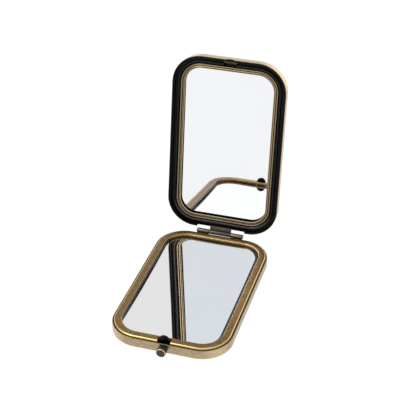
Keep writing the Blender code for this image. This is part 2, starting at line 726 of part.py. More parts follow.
def make_lid_catch():
    """An angle plate behind the lid's front wall, whose lip goes under the hook's nose."""
    near = FRONT + WALL_INSIDE
    lip = LID_RIM + CATCH_DROP
    far = FRONT + CATCH_INSET
    loop = [(near, lip), (far, lip), (far, lip + CATCH_PLATE)]
    loop += [(near + CATCH_PLATE, lip + CATCH_PLATE), (near + CATCH_PLATE, LID_FLANGE_END)]
    loop += [(near, LID_FLANGE_END)]
    catch = bar("lid_catch", [loop], -CATCH_WIDTH / 2, CATCH_WIDTH / 2)
    return finish(catch, "dark_bronze")


# ---- assembly

def carry(name, place, pieces):
    """An empty that carries pieces, and the cutters that shape them, about the place."""
    empty = add_object(name, None, PARTS)
    empty.empty_display_size = KNUCKLE_RADIUS
    empty.location = place
    to_place = Matrix.Translation([-along for along in place])
    for piece in pieces:
        tools = [step.object for step in piece.modifiers if step.type == "BOOLEAN"]
        for item in [piece] + tools:
            item.parent = empty
            item.matrix_parent_inverse = to_place
    return empty


def build():
    make_base_shell()
    make_base_bezel()
    make_base_stack()
    make_base_hinge_leaf()
    make_rivets("base_hinge_rivet", BASE_RIVETS, BASE_RIVET_HEIGHT)
    make_hinge_pin()
    make_latch_guide()
    make_return_spring()
    moving = [make_push_button(), make_latch_lug(), make_stem_clip()]
    carry("button_slide", (0, FRONT, BUTTON_HEIGHT), moving)
    lid = [make_lid_shell(), make_lid_bezel(), make_lid_mirror_frame(), *make_lid_stack()]
    lid += [make_lid_hinge_leaf(), make_lid_catch()]
    lid += make_rivets("lid_hinge_rivet", LID_RIVETS, LID_RIVET_HEIGHT)
    hinge = carry("lid_hinge", (0, AXIS_Y, AXIS_Z), lid)
    hinge.rotation_euler.x = -LID_REST_ANGLE


build()
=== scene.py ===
"""The looks of the folding pocket mirror: finer meshes, aged brass, black lacquer and mirrors.

Lengths are in metres. Lid pieces are drawn closed over the base, as the base lies flat, and are
then turned back about the hinge. Every swept or turned surface carries two UV layers: "sweep"
holds lengths along and across it in millimetres, and "marks" holds how worn it is, with painted
highlight, and how grimy it is, with painted shade.
"""
import json
from math import asin, cos, hypot, pi, radians, sin

import bmesh
import bpy
from mathutils import Matrix, Vector


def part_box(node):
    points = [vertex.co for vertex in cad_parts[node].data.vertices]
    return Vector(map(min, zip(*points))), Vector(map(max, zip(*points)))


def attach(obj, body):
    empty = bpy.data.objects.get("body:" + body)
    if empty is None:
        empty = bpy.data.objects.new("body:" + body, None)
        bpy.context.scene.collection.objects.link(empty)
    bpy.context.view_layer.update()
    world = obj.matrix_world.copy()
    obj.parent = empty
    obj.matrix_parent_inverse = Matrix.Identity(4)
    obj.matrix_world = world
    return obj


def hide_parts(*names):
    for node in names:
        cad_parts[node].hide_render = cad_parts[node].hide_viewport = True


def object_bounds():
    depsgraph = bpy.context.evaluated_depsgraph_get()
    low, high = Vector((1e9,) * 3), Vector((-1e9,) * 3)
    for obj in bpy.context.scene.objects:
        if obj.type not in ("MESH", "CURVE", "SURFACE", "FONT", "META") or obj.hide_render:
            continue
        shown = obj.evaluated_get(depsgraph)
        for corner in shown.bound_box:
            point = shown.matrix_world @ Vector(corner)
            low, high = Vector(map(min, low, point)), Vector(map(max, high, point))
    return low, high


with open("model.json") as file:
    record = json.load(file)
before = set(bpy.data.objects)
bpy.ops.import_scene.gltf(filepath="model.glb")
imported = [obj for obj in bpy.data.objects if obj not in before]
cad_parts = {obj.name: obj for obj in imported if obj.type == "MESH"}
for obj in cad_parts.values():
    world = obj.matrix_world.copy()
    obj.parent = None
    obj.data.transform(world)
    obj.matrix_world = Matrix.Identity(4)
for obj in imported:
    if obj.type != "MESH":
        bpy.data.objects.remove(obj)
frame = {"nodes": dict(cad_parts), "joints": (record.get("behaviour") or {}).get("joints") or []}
CAD_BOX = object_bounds()
NODES = frame["nodes"]

# ---- places read from the frame
SHELL_LOW, SHELL_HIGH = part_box("base_shell")
LEAF_WIDTH = SHELL_HIGH.x - SHELL_LOW.x
LEAF_LENGTH = SHELL_HIGH.y - SHELL_LOW.y
SHELL_DEPTH = SHELL_HIGH.z
HINGE = next(joint for joint in frame["joints"] if joint["name"] == "lid_hinge")
AXIS = Vector(HINGE["pos_m"])
LID_REST_ANGLE = radians(HINGE["range_deg"][1])
FRONT = -LEAF_LENGTH / 2
REAR = LEAF_LENGTH / 2
RIM_GAP = 2 * (AXIS.z - SHELL_DEPTH)
LID_RIM = SHELL_DEPTH + RIM_GAP
LID_TOP = LID_RIM + SHELL_DEPTH

# ---- sizes that the part's own source gives these pieces
CORNER_RADIUS = 0.0152
SHEET = 0.00055
GAP = 0.0003
WALL_INSIDE = SHEET + GAP
FLOOR_ROUND = 0.0009

BEZEL_SHEET = 0.00045
BEZEL_RISE = 0.00085
BEZEL_SHOULDER = 0.00075
BEZEL_INNER = 0.0049
BEZEL_LEG = 0.0030
GLASS_DROP = 0.0008
GLASS_THICKNESS = 0.0012
GLASS_INSET = 0.00425

CHANNEL_SHEET = 0.0004
LID_LEG_TOP = 0.00065
CHANNEL_FLOOR = 0.0020
MOULDING_START = 0.0023
MOULDING_RADIUS = 0.00085
MOULDING_TOP = 0.00095
FLANGE_DEPTH = 0.0029
FLANGE_INSET = 0.0054

FRAME_INSET = 0.00425
FRAME_OUTER_BEAD = 0.00045
FRAME_OUTER_TOP = 0.00125
FRAME_GROOVE = 0.000225
FRAME_INNER_BEAD = 0.00050
FRAME_INNER_TOP = 0.00140
FRAME_EDGE_INSET = 0.0066
FRAME_EDGE_DEPTH = 0.0016
LID_GLASS_DROP = 0.0022
LID_GLASS_INSET = 0.0059

HINGE_WIDTH = 0.0252
HINGE_NOTCH_SIDE = 0.0005
CENTRE_KNUCKLE = 0.0118
KNUCKLE_RADIUS = 0.00125
KNUCKLE_GAP = 0.0002
PIN_RADIUS = 0.00055
PIN_HEAD_RADIUS = 0.00085
PIN_HEAD = 0.0003
HEAD_GAP = 0.00015
RUNNING_GAP = 0.0001
LEAF_PLATE = 0.00045
LEAF_FLANGE = 0.0004
LEAF_FLOOR_GAP = 0.00045
LID_NOTCH_DEPTH = 0.0023
RIVET_RADIUS = 0.0005
BASE_RIVETS = (-0.0100, -0.0038, 0.0038, 0.0100)
LID_RIVETS = (-0.0038, 0.0038)

BUTTON_RADIUS = 0.0024
BUTTON_FOOT_GAP = 0.00035
BUTTON_HEIGHT = BUTTON_RADIUS + BUTTON_FOOT_GAP
BUTTON_LENGTH = 0.0027
BUTTON_EDGE = 0.0004
BUTTON_DOME = 0.00015
BUTTON_REST_GAP = 0.0010
BUTTON_TRAVEL = 0.0008
STEM_RADIUS = 0.0011
SPIGOT_RADIUS = 0.0007
LUG_WIDTH = 0.0055
LUG_TOP = 0.0034
LUG_SHANK = 0.0010
LUG_NOSE = 0.0006
LUG_INSET = 0.0019
LUG_EDGE = 0.0004
NOSE_HEIGHT = 0.0011
LUG_BACK = LUG_INSET + LUG_SHANK
LUG_CLEAR = LUG_BACK + BUTTON_TRAVEL
CATCH_OVERHANG = 0.00025
CATCH_HALF = LUG_WIDTH / 2 + CATCH_OVERHANG
THUMB_NOTCH_WIDTH = 0.0047
THUMB_NOTCH_DEPTH = 0.0013

# ---- derived places, as the part's own source derives them
BASE_GLASS_TOP = SHELL_DEPTH - GLASS_DROP
BASE_NOTCH_BOTTOM = AXIS.z - KNUCKLE_RADIUS - GAP
BASE_FLANGE_END = SHEET + LEAF_FLOOR_GAP
LID_FLANGE_END = LID_TOP - SHEET - LEAF_FLOOR_GAP
BASE_RIVET_HEIGHT = (BASE_FLANGE_END + BASE_NOTCH_BOTTOM) / 2
LID_RIVET_HEIGHT = (LID_FLANGE_END + LID_RIM + LID_NOTCH_DEPTH) / 2
HINGE_STANDOFF = AXIS.y - REAR

# ---- sizes that only the looks have: small rounds, and a pressed line round the lid's cover
RIM_ROUND = 0.00013
LEAF_EDGE = 0.00007
SMALLEST_ROUND = 0.0001
BEZEL_CREST = 0.00002
GROOVE_INSET = 0.0062
GROOVE_RADIUS = 0.0004
GROOVE_DEPTH = 0.00014

# ---- how the silvered faces lie: the lower one is a shallow magnifier, the upper one is flat,
# ---- and both are bedded a little out of true; the leans are rises along +X and along +Y
BASE_SILVER_HEIGHT = 0.00352
BASE_SILVER_LEAN = (0.00211, -0.00105)
BASE_SILVER_RADIUS = 1.088
LID_SILVER_DEPTH = 0.00290
LID_SILVER_LEAN = (0.00602, 0.00795)
GLASS_RINGS = 40

# ---- how age, painted highlights, painted shade and a dark edge band show: places are distances from the leaf's middle, and angles are in degrees
BEZEL_WORN_AND_HIGHLIT_END = 44
BEZEL_SHADED_START = 38
ENDS_START = 0.030
ENDS_BLEND = 0.009
FRONT_HIGHLIGHT = 0.7
ENDS_HIGHLIGHT = 0.52
REAR_SHADE_LIFT = 0.2
HINGE_END_START = 0.034
HINGE_END_BLEND = 0.008
HINGE_END_HIGHLIGHT = 0.20
EDGE_BAND_WIDTH = 0.0020
EDGE_BAND_START = 0.0185
EDGE_BAND_BLEND = 0.0035
CORNER_WEAR = 0.45
LID_WALL_BRIGHTNESS = 0.42

# ---- fineness
CORNER_STEPS = 26
STRAIGHT_STEPS = 6
BEND_STEPS = 8
ROUND_STEPS = 64
PIN_HEAD_STEPS = 8
BUTTON_DOME_STEPS = 6
LUG_EDGE_STEPS = 5
LEAF_EDGE_STEPS = 2
CUT = 0.002
WELD = 1e-7
SMOOTH_ANGLE = radians(32)
LEAF_BEVEL_ANGLE = radians(50)
LUG_BEVEL_ANGLE = radians(60)
MM = 1000.0

# ---- relief and mottle of the materials
SWEPT_RELIEF = 0.00003
PLAIN_RELIEF = 0.00002
BOARD_RELIEF = 0.00006
METAL_MOTTLE = 900.0
HAZE_MOTTLE = 40.0
# The lacquer's highlight colour is painted on the moulding's ridge.
LACQUER_HIGHLIGHT = (0.155, 0.138, 0.130)
# The colour of the dark band drawn along a mirror's edge.
EDGE_BAND_COLOUR = (0.05, 0.06, 0.07)

# ---- camera
CAMERA_AZIMUTH = radians(16.695)
CAMERA_ELEVATION = radians(32.207)
CAMERA_ROLL = radians(0.274)
CAMERA_DISTANCE = 0.549064
CAMERA_AIM = Vector((0.0, 0.0, 0.030))
CAMERA_PAN = (0.003515, 0.022508)
CAMERA_LENS = 100.73
CAMERA_SENSOR = 36.0
CAMERA_CLIP = 0.01

# ---- the studio: a glowing floor, a key light, and skies behind and in front of the object, as
# ---- colours at the sine of the height; the turn is how soon the one gives way to the other
FLOOR_HALF = 3.0
FLOOR_CELLS = 8
FLOOR_DROP = 0.0002
KEY_PLACE = (-0.5, -0.35, 0.9)
KEY_SIZE = (0.5, 0.5)
KEY_POWER = 4.0
KEY_COLOUR = (1.0, 0.98, 0.95)
SKY_STRENGTH = 1.35
SKY_TURN = 1.5
BEHIND_SKY = [(0.0, (0.80, 0.80, 0.80)), (0.36, (0.74, 0.74, 0.73)), (0.52, (0.63, 0.63, 0.62)),
              (1.0, (0.66, 0.66, 0.66))]
FRONT_SKY = [(0.0, (0.98, 0.98, 0.97)), (0.36, (0.95, 0.95, 0.94)), (0.66, (0.68, 0.715, 0.74)),
             (1.0, (0.68, 0.68, 0.68))]

LID_PLACE = (Matrix.Translation(AXIS) @ Matrix.Rotation(-LID_REST_ANGLE, 4, "X")
             @ Matrix.Translation(-AXIS))


# ---- sections: lists of (inset, height, wear with painted highlight, grime with painted shade)

def bend(centre, radius, start, end, wear_and_highlight=0.0, shade_and_grime=0.0, steps=BEND_STEPS):
    """An arc in a section, angles in degrees, most worn, with the most painted highlight, at its
    middle.
    """
    points = []
    for step in range(steps + 1):
        share = step / steps
        turn = radians(start + (end - start) * share)
        wear_and_light = wear_and_highlight * sin(pi * share)
        points.append((centre[0] + radius * cos(turn), centre[1] + radius * sin(turn), wear_and_light, shade_and_grime))
    return points


def plain(points, wear_and_highlight=0.0, shade_and_grime=0.0):
    return [(inset, height, wear_and_highlight, shade_and_grime) for inset, height in points]


def stations():
    """Places round the leaf's outline: corner centre, direction outwards and length so far."""
    across = LEAF_WIDTH / 2 - CORNER_RADIUS
    along = LEAF_LENGTH / 2 - CORNER_RADIUS
    corners = [(1, 1), (-1, 1), (-1, -1), (1, -1)]
    places = []
    for turn, (side, end) in enumerate(corners):
        for step in range(CORNER_STEPS + 1):
            angle = radians(90 * (turn + step / CORNER_STEPS))
            places.append((side * across, end * along, cos(angle), sin(angle)))
        following = corners[(turn + 1) % 4]
        for step in range(1, STRAIGHT_STEPS):
            share = step / STRAIGHT_STEPS
            x = across * (side + (following[0] - side) * share)
            y = along * (end + (following[1] - end) * share)
            places.append((x, y, cos(angle), sin(angle)))
    lengths = [0.0]
    for here, there in zip(places, places[1:] + places[:1]):
        ends = [(x + CORNER_RADIUS * dx, y + CORNER_RADIUS * dy) for x, y, dx, dy in (here, there)]
        lengths.append(lengths[-1] + hypot(ends[1][0] - ends[0][0], ends[1][1] - ends[0][1]))
    return places, lengths


# ---- making meshes

def new_object(name, shape):
    bmesh.ops.recalc_face_normals(shape, faces=shape.faces)
    mesh = bpy.data.meshes.new(name)
    shape.to_mesh(mesh)
    shape.free()
    made = bpy.data.objects.new(name, mesh)
    bpy.context.scene.collection.objects.link(made)
    return made


def grid(rows, closed_rows, closed_columns, row_lengths, marks):
    """A sheet of faces through rows of points, with both UV layers.

    Rows follow each other along the sweep, and each row's points go across it. The marks are
    (wear with painted highlight, grime with painted shade) for each point of a row. Ends that don't
    close on themselves are left open.
    """
    shape = bmesh.new()
    sweep = shape.loops.layers.uv.new("sweep")
    wear_and_light = shape.loops.layers.uv.new("marks")
    verts = [[shape.verts.new(point) for point in row] for row in rows]
    across = [0.0]
    first = rows[0]
    count = len(first)
    for here, there in zip(first, first[1:] + first[:1]):
        across.append(across[-1] + (Vector(there) - Vector(here)).length)
    for i in range(len(rows) if closed_rows else len(rows) - 1):
        after = (i + 1) % len(rows)
        for k in range(count if closed_columns else count - 1):
            nxt = (k + 1) % count
            corners = [(i, k, i, k), (after, k, i + 1, k), (after, nxt, i + 1, k + 1)]
            corners.append((i, nxt, i, k + 1))
            face = shape.faces.new([verts[a][b] for a, b, _, _ in corners])
            for loop, (_, b, u, v) in zip(face.loops, corners):
                loop[sweep].uv = (row_lengths[u] * MM, across[v] * MM)
                loop[wear_and_light].uv = marks[b]
    return shape, verts


def swept(name, section, capped=False):
    """A section swept round the leaf's outline; capped fills its first and last loops flat."""
    places, lengths = stations()
    rows = []
    for x, y, dx, dy in places:
        row = [(CORNER_RADIUS - inset, height) for inset, height, _, _ in section]
        rows.append([(x + out * dx, y + out * dy, height) for out, height in row])
    marks = [(wear_and_highlight, shade_and_grime) for _, _, wear_and_highlight, shade_and_grime in section]
    shape, verts = grid(rows, True, not capped, lengths, marks)
    if capped:
        for end in (0, -1):
            fill(shape, [row[end] for row in verts], marks[end])
    return new_object(name, shape)


def fill(shape, loop_verts, marks):
    face = shape.faces.new(loop_verts)
    for loop in face.loops:
        loop[shape.loops.layers.uv["sweep"]].uv = (loop.vert.co.y * MM, loop.vert.co.x * MM)
        loop[shape.loops.layers.uv["marks"]].uv = marks


def turned(name, profile, place):
    """A profile of (radius, height, wear with painted highlight, grime with painted shade), closed on
    its axis, turned about Z.
    """
    rows, lengths = [], [0.0]
    widest = max(radius for radius, _, _, _ in profile)
    for step in range(ROUND_STEPS):
        turn = 2 * pi * step / ROUND_STEPS
        rows.append([(radius * cos(turn), radius * sin(turn), height)
                     for radius, height, _, _ in profile])
        lengths.append(2 * pi * widest * (step + 1) / ROUND_STEPS)
    marks = [(wear_and_highlight, shade_and_grime) for _, _, wear_and_highlight, shade_and_grime in profile]
    shape, _ = grid(rows, True, False, lengths, marks)
    bmesh.ops.remove_doubles(shape, verts=shape.verts, dist=WELD)
    shape.transform(place)
    return new_object(name, shape)


def prism(name, loop, near, far, place, shade_and_grime=0.0):
    """A closed outline of (x, y) points between two heights, with both UV layers."""
    rows = [[(x, y, height) for x, y in loop] for height in (near, far)]
    marks = [(0.0, shade_and_grime)] * len(loop)
    shape, verts = grid(rows, False, True, [near, far], marks)
    for row in verts:
        fill(shape, row, marks[0])
    shape.transform(place)
    return new_object(name, shape)


def block(low, high):
    """A cutter between two corners. The faces it leaves on a piece are darkened as painted shade."""
    loop = [(low[0], low[1]), (high[0], low[1]), (high[0], high[1]), (low[0], high[1])]
    return prism("cutter", loop, low[2], high[2], Matrix.Identity(4), shade_and_grime=1.0)


def circle(radius, x=0.0, y=0.0):
    turns = [2 * pi * step / ROUND_STEPS for step in range(ROUND_STEPS)]
    return [(x + radius * cos(turn), y + radius * sin(turn)) for turn in turns]


def round_cutter(radius, x, y, height, reach):
    """A cutter rod along Y, centred at y. The faces it leaves on a piece are darkened as painted
    shade.
    """
    place = Matrix.Translation((x, y, height)) @ Matrix.Rotation(pi / 2, 4, "X")
    return prism("cutter", circle(radius), -reach, reach, place, shade_and_grime=1.0)


def apply_modifiers(target):
    bpy.context.view_layer.update()
    evaluated = target.evaluated_get(bpy.context.evaluated_depsgraph_get())
    mesh = bpy.data.meshes.new_from_object(evaluated)
    target.modifiers.clear()
    target.data = mesh


def cut(target, cutters):
    """Cuts a piece with each cutter in turn, and removes the cutters."""
    for cutter in cutters:
        step = target.modifiers.new("cut", "BOOLEAN")
        step.operation = "DIFFERENCE"
        step.object = cutter
        step.solver = "EXACT"
        apply_modifiers(target)
        bpy.data.objects.remove(cutter, do_unlink=True)
    return target


def soften(target, width, segments, angle):
    """Rounds the edges that turn by more than the angle."""
    step = target.modifiers.new("edges", "BEVEL")
    step.width = width
    step.segments = segments
    step.limit_method = "ANGLE"
    step.angle_limit = angle
    apply_modifiers(target)
    return target


def dress(piece, node, material_name, body, turn_back=False):
    """Finishes a piece: shading, material, and what it rides on and stands for."""
    if turn_back:
        piece.data.transform(LID_PLACE)
    piece.name = node + "_visual"
    piece.data.name = piece.name
    piece.data.shade_smooth()
    piece.data.set_sharp_from_angle(angle=SMOOTH_ANGLE)
    piece.data.materials.clear()
    piece.data.materials.append(MATERIALS[material_name])
    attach(piece, body)
    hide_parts(node)
    return piece


# ---- materials

class Nodes:
    """A short way to build the nodes of a material or of the world."""

    def __init__(self, owner):
        owner.use_nodes = True
        self.owner = owner
        self.tree = owner.node_tree
        self.shader = self.tree.nodes.get("Principled BSDF")

    def add(self, kind, **settings):
        node = self.tree.nodes.new(kind)
        for key, value in settings.items():
            setattr(node, key, value)
        return node

    def link(self, source, target):
        self.tree.links.new(source, target)

    def scaled(self, vector, scale):
        mapping = self.add("ShaderNodeMapping")
        mapping.inputs["Scale"].default_value = scale
        self.link(vector, mapping.inputs["Vector"])
        return mapping.outputs["Vector"]

    def sweep(self, along, across):
        """The millimetres along and across a swept or turned surface, scaled."""
        source = self.add("ShaderNodeUVMap", uv_map="sweep")
        return self.scaled(source.outputs["UV"], (along, across, 1.0))

    def object(self, scale=(1.0, 1.0, 1.0)):
        """The piece's own coordinates in metres, scaled."""
        return self.scaled(self.add("ShaderNodeTexCoord").outputs["Object"], scale)

    def noise(self, vector, scale, detail=4.0, roughness=0.55):
        node = self.add("ShaderNodeTexNoise")
        node.inputs["Scale"].default_value = scale
        node.inputs["Detail"].default_value = detail
        node.inputs["Roughness"].default_value = roughness
        self.link(vector, node.inputs["Vector"])
        return node.outputs["Fac"]

    def ramp(self, value, stops):
        """A colour ramp of (place, colour or grey) stops."""
        node = self.add("ShaderNodeValToRGB")
        elements = node.color_ramp.elements
        while len(elements) < len(stops):
            elements.new(0.5)
        for element, (place, colour) in zip(elements, stops):
            element.position = place
            colour = colour if hasattr(colour, "__len__") else (colour,) * 3
            element.color = (*colour, 1.0)
        self.link(value, node.inputs["Fac"])
        return node.outputs["Color"]

    def mix(self, factor, first, second):
        node = self.add("ShaderNodeMix", data_type="RGBA")
        for socket, given in ((node.inputs[0], factor), (node.inputs[6], first),
                              (node.inputs[7], second)):
            if isinstance(given, bpy.types.NodeSocket):
                self.link(given, socket)
            elif hasattr(given, "__len__"):
                socket.default_value = (*given, 1.0)
            else:
                socket.default_value = given
        return node.outputs[2]

    def math(self, operation, first, second, third=0.0):
        node = self.add("ShaderNodeMath", operation=operation)
        for socket, given in zip(node.inputs, (first, second, third)):
            if isinstance(given, bpy.types.NodeSocket):
                self.link(given, socket)
            else:
                socket.default_value = given
        return node.outputs[0]

    def marks(self):
        """The (wear with painted highlight, grime with painted shade) of the surface."""
        source = self.add("ShaderNodeUVMap", uv_map="marks")
        split = self.add("ShaderNodeSeparateXYZ")
        self.link(source.outputs["UV"], split.inputs[0])
        return split.outputs[0], split.outputs[1]

    def bump(self, height, strength, distance):
        node = self.add("ShaderNodeBump")
        node.inputs["Strength"].default_value = strength
        node.inputs["Distance"].default_value = distance
        self.link(height, node.inputs["Height"])
        self.link(node.outputs["Normal"], self.shader.inputs["Normal"])

    def set(self, **values):
        for name, value in values.items():
            self.shader.inputs[name.replace("_", " ").title()].default_value = value


def new_nodes(name):
    return Nodes(bpy.data.materials.new(name))


def metal(name, dark, light, wear_and_light, shade_and_grime, rough, brushed, grain, streak):
    """Aged metal: a patina of two tones, polished where worn and where a highlight is painted,
    blackened where grimy and where shade is painted.

    Rough is the range of roughness from the worn and highlighted places to the dull ones. Brushed is
    how strongly the brush lines show, and streak how many tones pass in a millimetre along and across
    them.
    """
    nodes = new_nodes(name)
    wear_and_highlight, shade_and_dirt = nodes.marks()
    cloud = nodes.noise(nodes.sweep(0.35, 0.9), 1.0, 5.0, 0.6)
    lines = nodes.noise(nodes.sweep(*streak), 1.0, 5.0, 0.7)
    specks = nodes.noise(nodes.sweep(3.2, 3.2), 1.0, 3.0, 0.6)
    tone = nodes.math("ADD", nodes.math("MULTIPLY", lines, brushed),
                      nodes.math("MULTIPLY", cloud, 1.0 - brushed))
    tone = nodes.math("ADD", tone, nodes.math("MULTIPLY", nodes.math("SUBTRACT", specks, 0.5), grain))
    patina = nodes.ramp(tone, [(0.36, dark), (0.64, light)])
    # Worn marks brighten the colour, partly as painted highlight; grime marks blacken it, partly as
    # painted shade.
    ragged = nodes.math("MULTIPLY_ADD", nodes.math("SUBTRACT", specks, 0.5), 0.35, wear_and_highlight)
    worn_and_highlit = nodes.ramp(ragged, [(0.25, 0.0), (0.85, 1.0)])
    colour = nodes.mix(worn_and_highlit, patina, wear_and_light)
    ragged_shade_and_grime = nodes.math("MULTIPLY_ADD", nodes.math("SUBTRACT", cloud, 0.5), 0.3, shade_and_dirt)
    shaded_and_grimy = nodes.ramp(ragged_shade_and_grime, [(0.2, 0.0), (0.8, 1.0)])
    colour = nodes.mix(shaded_and_grimy, colour, shade_and_grime)
    nodes.link(colour, nodes.shader.inputs["Base Color"])
    dull = nodes.ramp(tone, [(0.3, rough[1]), (0.7, (rough[0] + rough[1]) / 2)])
    roughness = nodes.mix(worn_and_highlit, dull, (rough[0],) * 3)
    nodes.link(roughness, nodes.shader.inputs["Roughness"])
    nodes.set(metallic=1.0)
    height = nodes.math("ADD", nodes.math("MULTIPLY", lines, 0.6 * brushed + 0.1),
                        nodes.math("MULTIPLY", specks, grain))
    nodes.bump(height, 0.35, SWEPT_RELIEF)
    return nodes.owner


def lacquer(name, dark, light, rough):
    """Black lacquered or oxidised steel, lighter along its worn marks as a painted highlight and
    darkest along its grime marks as painted shade.
    """
    nodes = new_nodes(name)
    wear_and_highlight, shade_and_dirt = nodes.marks()
    cloud = nodes.noise(nodes.sweep(0.2, 0.8), 1.0, 5.0, 0.65)
    specks = nodes.noise(nodes.sweep(4.0, 4.0), 1.0, 2.0, 0.5)
    tone = nodes.ramp(cloud, [(0.35, dark), (0.7, light)])
    ragged = nodes.math("MULTIPLY_ADD", nodes.math("SUBTRACT", specks, 0.5), 0.5, wear_and_highlight)
    colour = nodes.mix(nodes.ramp(ragged, [(0.3, 0.0), (1.0, 1.0)]), tone, LACQUER_HIGHLIGHT)
    colour = nodes.mix(shade_and_dirt, colour, dark)
    nodes.link(colour, nodes.shader.inputs["Base Color"])
    nodes.link(nodes.ramp(cloud, [(0.3, rough[0]), (0.75, rough[1])]),
               nodes.shader.inputs["Roughness"])
    nodes.set(metallic=0.85)
    height = nodes.math("ADD", cloud, nodes.math("MULTIPLY", specks, 0.4))
    nodes.bump(height, 0.25, SWEPT_RELIEF)
    return nodes.owner


def silvered(name, tint):
    """A mirror: silver with barely uneven polish, and a dark band drawn along its edge."""
    nodes = new_nodes(name)
    haze = nodes.noise(nodes.object(), HAZE_MOTTLE, 3.0, 0.5)
    clean = nodes.ramp(haze, [(0.3, tint), (0.8, tuple(0.985 * part for part in tint))])
    _, shade_and_dirt = nodes.marks()
    # The grime mark draws the dark edge band.
    nodes.link(nodes.mix(shade_and_dirt, clean, EDGE_BAND_COLOUR), nodes.shader.inputs["Base Color"])
    nodes.link(nodes.ramp(haze, [(0.4, 0.004), (0.8, 0.012)]), nodes.shader.inputs["Roughness"])
    nodes.set(metallic=1.0)
    return nodes.owner


def board(name, dark, light, scale, rough):
    """Grey card or foam: a fibrous or cellular mottle."""
    nodes = new_nodes(name)
    fibre = nodes.noise(nodes.object((1.0, 0.6, 1.0)), scale, 6.0, 0.7)
    nodes.link(nodes.ramp(fibre, [(0.3, dark), (0.7, light)]), nodes.shader.inputs["Base Color"])
    nodes.set(roughness=rough, metallic=0.0)
    nodes.bump(fibre, 0.5, BOARD_RELIEF)
    return nodes.owner


def plain_metal(name, dark, light, rough):
    """Metal for the CAD nodes kept as they are, which have no UV layers."""
    nodes = new_nodes(name)
    cloud = nodes.noise(nodes.object(), METAL_MOTTLE, 5.0, 0.6)
    nodes.link(nodes.ramp(cloud, [(0.3, dark), (0.7, light)]), nodes.shader.inputs["Base Color"])
    nodes.link(nodes.ramp(cloud, [(0.3, rough[1]), (0.7, rough[0])]),
               nodes.shader.inputs["Roughness"])
    nodes.set(metallic=1.0)
    nodes.bump(cloud, 0.2, PLAIN_RELIEF)
    return nodes.owner


# Each metal's worn colour also paints highlights, and its grime colour also paints shade.
MATERIALS = {
    "shell": metal("antique_brass_shell", (0.245, 0.175, 0.105), (0.545, 0.435, 0.275),
                   (0.84, 0.675, 0.40), (0.035, 0.026, 0.018), (0.24, 0.40),
                   brushed=0.72, grain=0.25, streak=(0.10, 4.5)),
    "bezel": metal("aged_brass_bezel", (0.157, 0.092, 0.038), (0.320, 0.205, 0.096),
                   (0.76, 0.555, 0.225), (0.012, 0.009, 0.007), (0.25, 0.38),
                   brushed=0.45, grain=0.30, streak=(0.22, 3.0)),
    "frame": metal("gilt_brass_frame", (0.050, 0.042, 0.034), (0.11, 0.09, 0.065),
                   (0.46, 0.345, 0.19), (0.012, 0.010, 0.009), (0.22, 0.38),
                   brushed=0.4, grain=0.3, streak=(0.3, 3.0)),
    "hinge": metal("antiqued_hinge_brass", (0.10, 0.083, 0.068), (0.22, 0.19, 0.165),
                   (0.55, 0.50, 0.44), (0.02, 0.017, 0.014), (0.25, 0.42),
                   brushed=0.5, grain=0.3, streak=(1.4, 1.4)),
    "knuckle": metal("dark_knuckle_brass", (0.055, 0.046, 0.039), (0.125, 0.108, 0.093),
                     (0.45, 0.40, 0.34), (0.02, 0.017, 0.014), (0.25, 0.42),
                     brushed=0.5, grain=0.3, streak=(1.4, 1.4)),
    "button": metal("dark_button_brass", (0.042, 0.034, 0.028), (0.105, 0.085, 0.066),
                    (0.70, 0.54, 0.32), (0.012, 0.010, 0.008), (0.26, 0.42),
                    brushed=0.4, grain=0.4, streak=(1.2, 1.6)),
    "black": lacquer("black_lacquered_steel", (0.0030, 0.0028, 0.0030), (0.0085, 0.0078, 0.0082),
                     (0.16, 0.34)),
    "bronze": plain_metal("blackened_bronze", (0.045, 0.037, 0.031), (0.10, 0.085, 0.07),
                          (0.3, 0.45)),
    "rivet": plain_metal("rivet_brass", (0.14, 0.10, 0.06), (0.30, 0.23, 0.15), (0.28, 0.42)),
    "steel": plain_metal("spring_steel", (0.34, 0.34, 0.35), (0.48, 0.48, 0.49), (0.22, 0.36)),
    "base_mirror": silvered("lower_mirror_silver", (0.895, 0.900, 0.905)),
    "lid_mirror": silvered("upper_mirror_silver", (0.845, 0.853, 0.880)),
    "card": board("grey_board", (0.16, 0.15, 0.135), (0.28, 0.27, 0.245), 1500.0, 0.95),
    "foam": board("grey_foam", (0.50, 0.50, 0.48), (0.66, 0.66, 0.63), 3500.0, 0.95),
}


# ---- shells

